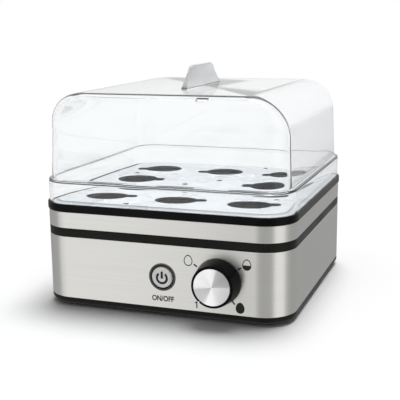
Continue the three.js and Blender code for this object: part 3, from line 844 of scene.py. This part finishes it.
def make_tray():
    under = TRAY_TOP - TRAY_THICK
    plate_half, steam_hole = 92.2, 2.5
    # Column, row and the heading of the finger lobe, in degrees.
    places = [(column, -1, 18) for column in (-1, 0, 1)] + [(-1, 0, 8), (1, 0, 188)]
    places += [(column, 1, 198) for column in (-1, 0, 1)]
    outlines = [corner_ring(plate_half, plate_half, plate_half - CORNER_CORE, 16)]
    outlines += [egg_hole(column * EGG_PITCH, row * EGG_PITCH, lobe) for column, row, lobe in places]
    for x, y in ((-72, 28), (11, 12), (30, 88)):
        outlines += [arc(side * x, side * y, steam_hole, 0, 345, 23) for side in (1, -1)]
    tray = flat_shape("clear_tray", outlines, TRAY_THICK, 0.12)
    move(tray, Matrix.Translation(Vector((0, CENTRE_Y, (TRAY_TOP + under) / 2)) * MM))
    foot = LEDGE_TOP + 0.1
    border = rings_piece("tray_border", square_rings([
        (90.2, under + 0.3), (90.9, under), (92, foot), (TRAY_HALF - 0.3, foot), (TRAY_HALF, foot + 0.3),
        (TRAY_HALF, TRAY_BORDER_TOP - 0.4), (TRAY_HALF - 0.4, TRAY_BORDER_TOP), (94.3, TRAY_BORDER_TOP),
        (93.9, TRAY_BORDER_TOP + 0.2), (92.6, TRAY_TOP - 0.5), (92.2, TRAY_TOP - 0.1), (91.6, TRAY_TOP),
        (90.2, TRAY_TOP - 0.3),
    ]), True)
    rib = rectangle(LEDGE_OPENING - 1.8, LEDGE_OPENING - 0.6, 77.5, under + 0.4)
    locating_rib = rings_piece("tray_rib", square_rings(rib, DISH_CORE), True)
    combine(tray, [border, locating_rib], "UNION")
    finish_piece(tray, FROSTED_PAINTED_SHADE, "tray", ["egg_tray"])


# ---------- lid ----------

def dome_rings(inset):
    """Rings from the dome's foot to the edge of its flat top; inset is the wall for the inner face."""
    slope = (DOME_SHOULDER_HALF - DOME_FOOT_HALF) / (DOME_SHOULDER - FLANGE_TOP)
    brow = DOME_TOP - BROW_RADIUS
    side_middle = DOME_SHOULDER_HALF - CROWN_RADIUS
    brow_middle = DOME_FOOT_HALF + slope * (brow - FLANGE_TOP) - BROW_RADIUS
    rings = []
    for z in (FLANGE_TOP + 1, FLANGE_TOP + 14, FLANGE_TOP + 27):
        half = DOME_FOOT_HALF + slope * (z - FLANGE_TOP) - inset
        rings.append((half, half, DOME_CORNER - inset, z))
    steps = 26
    crown = CROWN_RADIUS - inset
    for k in range(steps + 1):
        turn = math.pi / 2 * k / steps
        z = DOME_SHOULDER + crown * math.sin(turn)
        half_x = side_middle + crown * math.cos(turn)
        if z <= brow:
            half_y = DOME_FOOT_HALF + slope * (z - FLANGE_TOP) - inset
        else:
            radius = BROW_RADIUS - inset
            half_y = brow_middle + math.sqrt(max(0, radius ** 2 - (z - brow) ** 2))
        corner = DOME_CORNER + (BROW_RADIUS - DOME_CORNER) * math.sin(turn) - inset
        rings.append((half_x, half_y, corner, z))
    return rings


def make_lid():
    edge = 0.7
    bm = bmesh.new()
    outer = square_rings([(FLANGE_HALF - 0.3, LID_FOOT), (FLANGE_HALF, LID_FOOT + 0.3)])
    outer += square_rings(arc(FLANGE_HALF - 0.2 - edge, FLANGE_TOP - edge, edge, 0, 90, 6))
    fillet = [(s, s, DOME_CORNER + s - DOME_FOOT_HALF, z)
              for s, z in arc(DOME_FOOT_HALF + 0.7, FLANGE_TOP + 0.7, 0.7, 270, 180, 5)]
    outer += fillet + dome_rings(0)
    inner = list(reversed(dome_rings(LID_WALL)))
    step = FLANGE_TOP - LID_WALL
    foot, mouth = DOME_FOOT_HALF - LID_WALL, FLANGE_HALF - LID_WALL
    inner += [(foot + 0.05, foot + 0.05, DOME_CORNER - LID_WALL, step + 0.6)]
    inner += [(s, s, DOME_CORNER + s - DOME_FOOT_HALF, z)
              for s, z in ((foot + 0.2, step + 0.2), (foot + 0.6, step))]
    inner += square_rings([(mouth - 0.8, step), (mouth - 0.2, step - 0.25), (mouth, step - 0.8),
                           (mouth, LID_FOOT + 0.3), (mouth + 0.3, LID_FOOT)])
    outside = [add_ring(bm, *ring) for ring in outer]
    inside = [add_ring(bm, *ring) for ring in inner]
    for rings in (outside, inside):
        for lower, upper in zip(rings, rings[1:]):
            bridge(bm, lower, upper)
    bridge(bm, inside[-1], outside[0])
    bm.faces.new(outside[-1])
    bm.faces.new(list(reversed(inside[0])))
    lid = made_from(bm, "clear_lid")
    combine(lid, [handle_fin()], "UNION")
    low, high = DOME_TOP - 4.3, DOME_TOP - 2.5
    combine(lid, [box_piece("front_vent", (28.5, CENTRE_Y - 98, low), (37.5, CENTRE_Y - 88, high), 0.5),
                  box_piece("rear_vent", (15.5, CENTRE_Y + 88, low), (28.5, CENTRE_Y + 98, high), 0.5)],
            "DIFFERENCE")
    finish_piece(lid, CLEAR, "lid", ["lid"], sharp=28)


def handle_fin():
    foot, shoulder, base = 43, 26, DOME_TOP - 1
    thick_base, thick_top = 4.6, 2.6
    rise = HANDLE_TOP - base
    corner = 6

    def rounded(t):
        """Curve over the handle's corner, from the end (t 0) to the top edge (t 1)."""
        start, bend, finish = (1 - t) ** 2, 2 * t * (1 - t), t * t
        return (start * (shoulder + 2) + bend * shoulder + finish * (shoulder - corner),
                start * (HANDLE_TOP - 5) + (bend + finish) * HANDLE_TOP)

    outline = [(foot, base)] + [rounded(k / 8) for k in range(9)]
    outline += [(-y, z) for y, z in reversed(outline)]
    fin = flat_shape("handle_fin", [outline], thick_base, 0.8)
    move(fin, Matrix(((0, 0, 1, 0), (1, 0, 0, CENTRE_Y * MM), (0, 1, 0, 0), (0, 0, 0, 1))))
    for vertex in fin.data.vertices:
        up = (vertex.co.z / MM - base) / rise
        vertex.co.x *= 1 + max(0, up) * (thick_top / thick_base - 1)
    return fin


# ---------- carried-over pieces inside the housing ----------

def finish_inner_pieces():
    finishes = {
        "zinc": metal("zinc_steel", (0.5, 0.52, 0.54), 0.4, (1, 1, 3)),
        "aluminium": metal("machined_aluminium", (0.62, 0.63, 0.65), 0.38, (1, 1, 8)),
        "brass": metal("brass", (0.7, 0.5, 0.2), 0.32),
        "sheath": metal("element_sheath", (0.22, 0.21, 0.2), 0.55),
        "silicone": moulded("gasket_silicone", (0.3, 0.3, 0.29), 0.75),
        "ceramic": moulded("ceramic", (0.75, 0.71, 0.6), 0.6),
        "ivory": moulded("ivory_plastic", (0.72, 0.68, 0.56), 0.5),
        "board": moulded("circuit_board", (0.03, 0.16, 0.06), 0.35, grain=300, relief=0.00003, gloss=0.6),
        "relay": moulded("relay_blue", (0.04, 0.13, 0.42), 0.45),
        "chip": moulded("black_component", (0.03, 0.03, 0.035), 0.55),
        "black": BLACK,
        "brown": moulded("wire_brown", (0.12, 0.05, 0.02), 0.45),
        "blue": moulded("wire_blue", (0.03, 0.07, 0.35), 0.45),
        "green": moulded("wire_green", (0.09, 0.3, 0.05), 0.45),
    }
    nodes = {
        "dish_gasket": "silicone", "heat_plate": "aluminium", "heating_element": "sheath",
        "heat_shield": "zinc", "thermostat": "ceramic", "thermal_fuse": "aluminium", "control_board": "board",
        "relay": "relay", "film_capacitor": "ivory", "buzzer": "chip", "indicator_led": "ivory",
        "potentiometer_body": "aluminium", "potentiometer_shaft": "aluminium", "switch_body": "chip",
        "switch_plunger": "ivory",
        "terminal_block": "ivory", "gland_nut": "black", "earth_stud": "brass",
        "wire_live": "brown", "wire_neutral": "blue", "wire_earth": "green",
    }
    for side in ("left", "right"):
        nodes[f"shield_stud_{side}"] = "zinc"
        nodes[f"stud_nut_{side}"] = "zinc"
        nodes[f"board_bracket_{side}"] = "zinc"
    for corner in ("front_left", "front_right", "rear_left", "rear_right"):
        nodes[f"body_screw_{corner}"] = "zinc"
    for name, finish in nodes.items():
        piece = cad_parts[name]
        piece.data.materials.clear()
        piece.data.materials.append(finishes[finish])


# ---------- studio ----------

# Brightness of the studio by heading, in degrees from -Y towards +X.
# BELOW is what lies below the horizon; WALLS differ from it only at the back.
BELOW = ((-180, 0.4), (-130, 0.4), (-90, 0.5), (-72, 0.51), (-56, 0.96), (-30, 1.14), (-21, 1.12),
         (-18.5, 1.04), (-16, 0.78), (-10, 0.58), (4, 0.52), (38, 0.54), (54, 1.12), (80, 1.12), (98, 0.6),
         (116, 0.47), (145, 0.45), (180, 0.4))
WALLS = ((-180, 0.95), (-130, 0.7), *BELOW[2:-2], (145, 0.78), (180, 0.95))
CEILING = 1.25
DIMMED = 0.75               # share of the studio's light that dull surfaces don't get from it


def studio_walls(world):
    """White to the eye and through clear plastic; lit panels and darker gaps for what surfaces reflect."""
    def math_node(operation, *values):
        made = nodes.new("ShaderNodeMath")
        made.operation = operation
        for socket, value in zip(made.inputs, values):
            if isinstance(value, (int, float)):
                socket.default_value = value
            else:
                links.new(value, socket)
        return made.outputs[0]

    nodes, links = world.node_tree.nodes, world.node_tree.links
    apart = nodes.new("ShaderNodeSeparateXYZ")
    links.new(nodes.new("ShaderNodeTexCoord").outputs["Generated"], apart.inputs[0])
    x, y, z = apart.outputs
    heading = math_node("ARCTAN2", x, math_node("MULTIPLY", y, -1))
    around = math_node("MULTIPLY_ADD", heading, 0.5 / math.pi, 0.5)

    def wall(levels):
        ramp = nodes.new("ShaderNodeValToRGB")
        links.new(around, ramp.inputs[0])
        ramp.color_ramp.interpolation = "EASE"
        stops = ramp.color_ramp.elements
        for count, (degrees, level) in enumerate(levels):
            at = degrees / 360 + 0.5
            stop = stops[count] if count < 2 else stops.new(at)
            stop.position = at
            stop.color = (level / CEILING, level / CEILING, level / CEILING, 1)
        return ramp.outputs["Color"]

    def by_height(start, end, lower, upper):
        height = nodes.new("ShaderNodeMapRange")
        height.interpolation_type = "SMOOTHSTEP"
        height.inputs["From Min"].default_value = start
        height.inputs["From Max"].default_value = end
        links.new(z, height.inputs["Value"])
        blend = nodes.new("ShaderNodeMix")
        blend.data_type = "RGBA"
        links.new(height.outputs["Result"], blend.inputs[0])
        links.new(lower, blend.inputs[6])
        if upper is None:
            blend.inputs[7].default_value = (1, 1, 1, 1)
        else:
            links.new(upper, blend.inputs[7])
        return blend.outputs[2]

    lit = nodes["Background"]
    walls = by_height(-0.06, 0.04, wall(BELOW), wall(WALLS))
    links.new(by_height(0.45, 0.85, walls, None), lit.inputs["Color"])
    seen = nodes.new("ShaderNodeBackground")
    seen.inputs["Color"].default_value = (1, 1, 1, 1)
    either = nodes.new("ShaderNodeMixShader")
    path = nodes.new("ShaderNodeLightPath")
    scattered = math_node("MINIMUM", path.outputs["Diffuse Depth"], 1)
    through_glass = math_node("MINIMUM", path.outputs["Transmission Depth"], 1)
    unscattered = math_node("MULTIPLY", through_glass, math_node("SUBTRACT", 1, scattered))
    straight = math_node("MAXIMUM", path.outputs["Is Camera Ray"], unscattered)
    links.new(math_node("MULTIPLY_ADD", scattered, -DIMMED * CEILING, CEILING), lit.inputs["Strength"])
    links.new(straight, either.inputs[0])
    links.new(lit.outputs[0], either.inputs[1])
    links.new(seen.outputs[0], either.inputs[2])
    links.new(either.outputs[0], nodes["World Output"].inputs["Surface"])


def make_studio():
    bm = bmesh.new()
    bmesh.ops.create_grid(bm, x_segments=8, y_segments=8, size=20)
    floor = made_from(bm, "studio_floor")
    material, principled = shader("studio_floor", (0.88, 0.88, 0.88), 0.6)
    principled.inputs["Specular IOR Level"].default_value = 0.2
    cloud = noise(material, 3, detail=2)
    mottled = tinted(material, spread(material, cloud, 0, 1), (0.87, 0.87, 0.87), (0.89, 0.89, 0.89))
    join(material, mottled, principled.inputs["Base Color"])
    floor.data.materials.append(material)
    floor.visible_glossy = False
    world = bpy.data.worlds.new("studio")
    world.use_nodes = True
    studio_walls(world)
    bpy.context.scene.world = world
    sun = bpy.data.lights.new("overhead", "SUN")
    sun.energy = 2.85
    sun.angle = math.radians(36)
    lamp = bpy.data.objects.new("overhead", sun)
    lamp.visible_glossy = False
    lamp.rotation_euler = Vector((0.06, 0.32, 1)).to_track_quat("Z", "Y").to_euler()
    bpy.context.scene.collection.objects.link(lamp)
    bpy.context.scene.view_settings.view_transform = "Standard"


make_steel()
make_middle_ring()
make_collar()
make_pan()
make_feet()
make_gland()
make_dish()
make_knob()
make_button()
make_print()
make_tray()
make_lid()
finish_inner_pieces()
make_studio()
